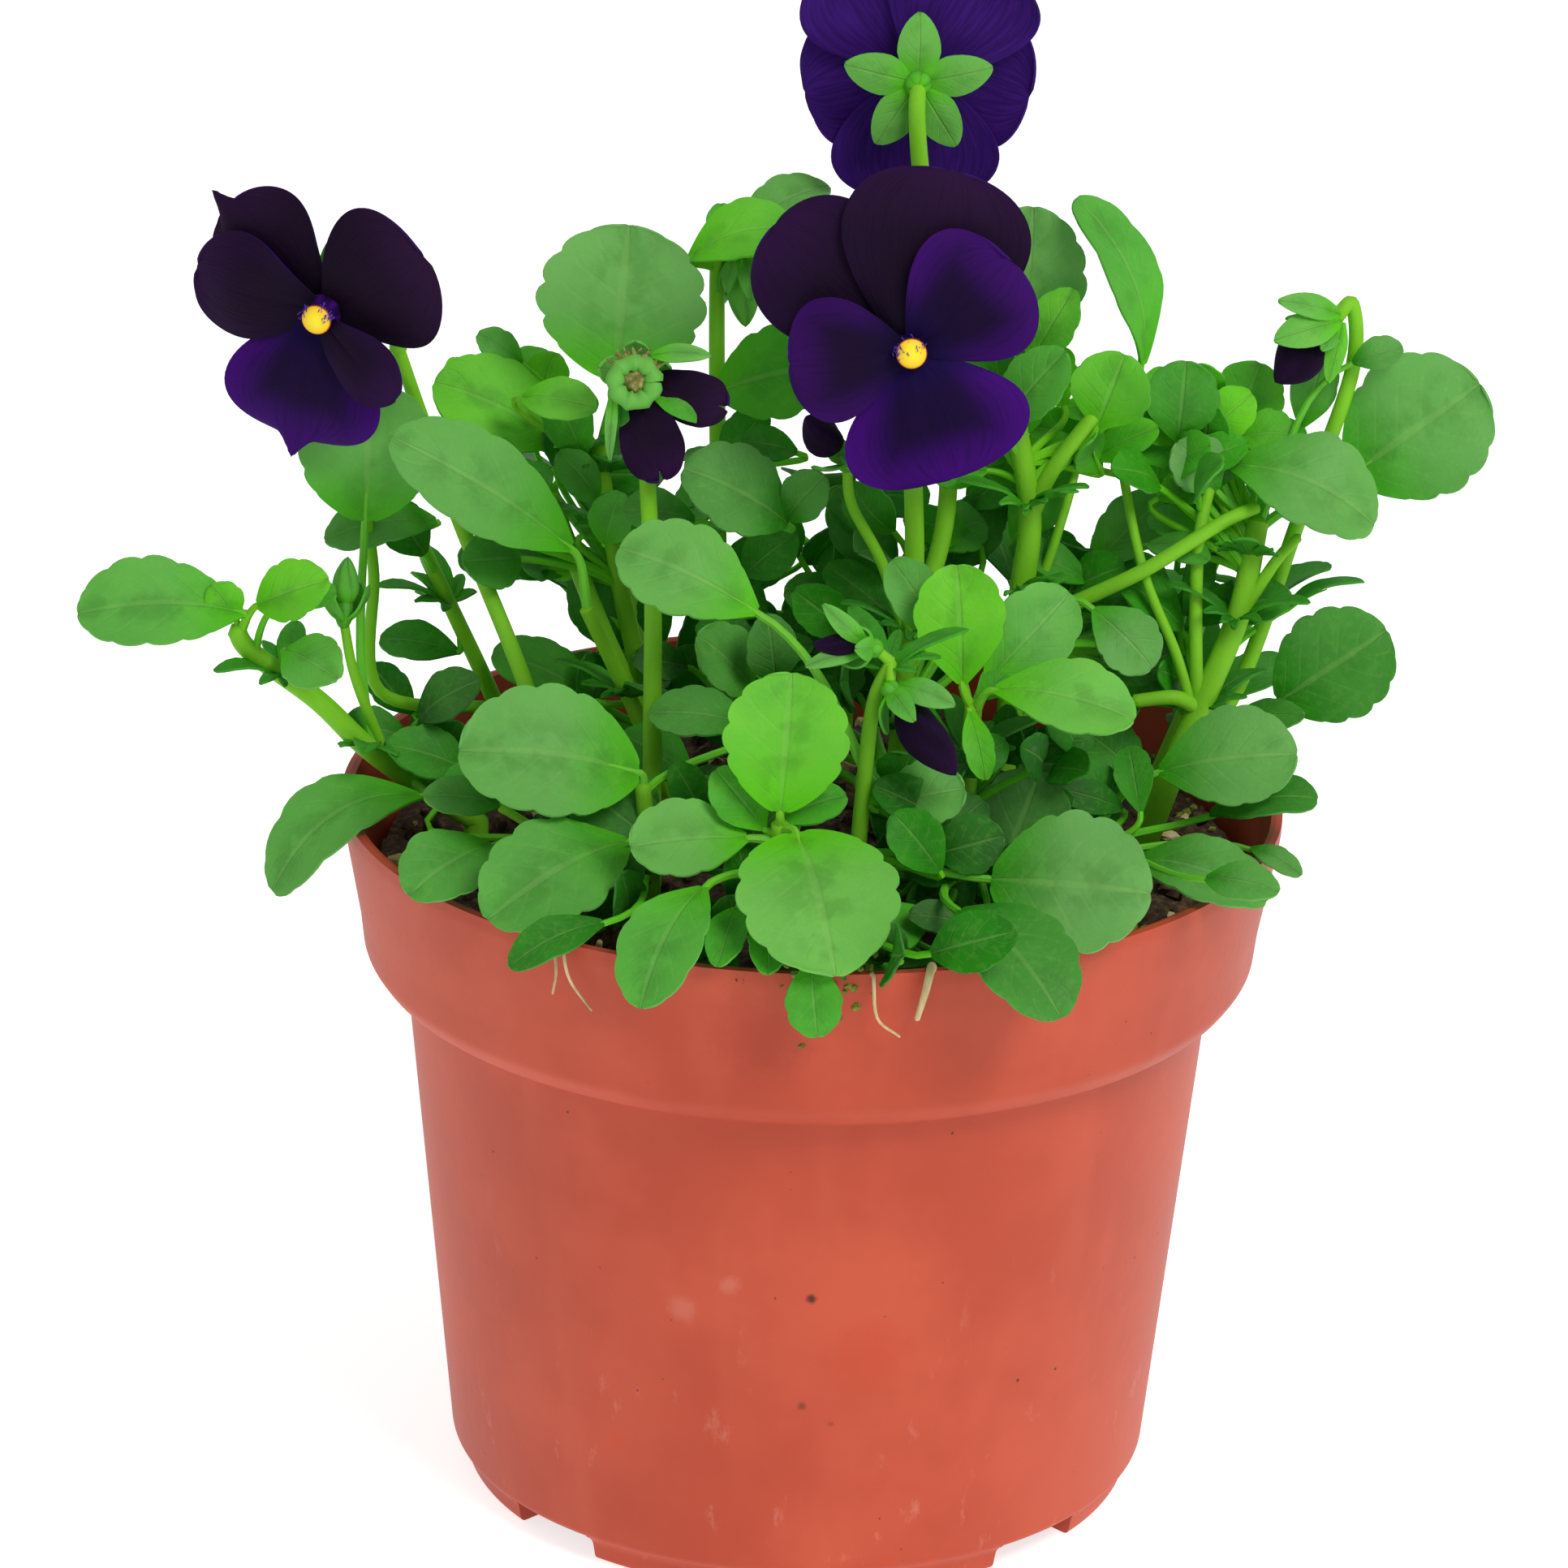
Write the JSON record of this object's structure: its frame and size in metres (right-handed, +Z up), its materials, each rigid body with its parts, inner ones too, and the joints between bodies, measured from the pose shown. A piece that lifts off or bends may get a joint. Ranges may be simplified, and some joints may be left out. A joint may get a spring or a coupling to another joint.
{
  "type": "potted flowering plant",
  "caption": "Round plastic nursery pot with a deep collar, filled with potting mix, holding a leafy viola with violet blooms, buds and slender stems.",
  "frame": {"origin": "on the pot's axis, at the plane that the pot stands on", "axes": "+Z up along the pot's axis; -Y is the plant's front, towards which the front bloom faces; +X is to the right seen from the front"},
  "size_m": [0.1776, 0.1324, 0.2026],
  "materials": {
    "terracotta_plastic": "satin",
    "potting_mix": "matte",
    "leaf_green": "satin",
    "petal_violet": "velvety",
    "eye_yellow": "matte",
    "dry_straw": "matte"
  },
  "bodies": {
    "root": {"bloom_front_eye": "eye_yellow", "bloom_front_petals": "petal_violet", "bloom_left_eye": "eye_yellow", "bloom_left_petals": "petal_violet", "bloom_top_eye": "eye_yellow", "bloom_top_petals": "petal_violet", "bloom_withered_petals": "petal_violet", "bud_hanging_petals": "petal_violet", "bud_middle_petals": "petal_violet", "bud_nodding_petals": "petal_violet", "bud_pointing_petals": "petal_violet", "dry_stem": "dry_straw", "pot": "terracotta_plastic", "potting_mix": "potting_mix", "shoot_back_left": "leaf_green", "shoot_bud_pair": "leaf_green", "shoot_creeping": "leaf_green", "shoot_forked": "leaf_green", "shoot_front_left": "leaf_green", "shoot_front_right": "leaf_green", "shoot_front_rosette": "leaf_green", "shoot_long_leaf": "leaf_green", "shoot_mid_rosette": "leaf_green", "shoot_middle": "leaf_green", "shoot_rear": "leaf_green", "shoot_rear_far_right": "leaf_green", "shoot_rear_left": "leaf_green", "shoot_rear_right": "leaf_green", "shoot_right": "leaf_green", "shoot_tall_left": "leaf_green", "shoot_tall_mid": "leaf_green", "stalk_left_bloom": "leaf_green", "stalk_withered_bloom": "leaf_green"}
  },
  "joints": []
}
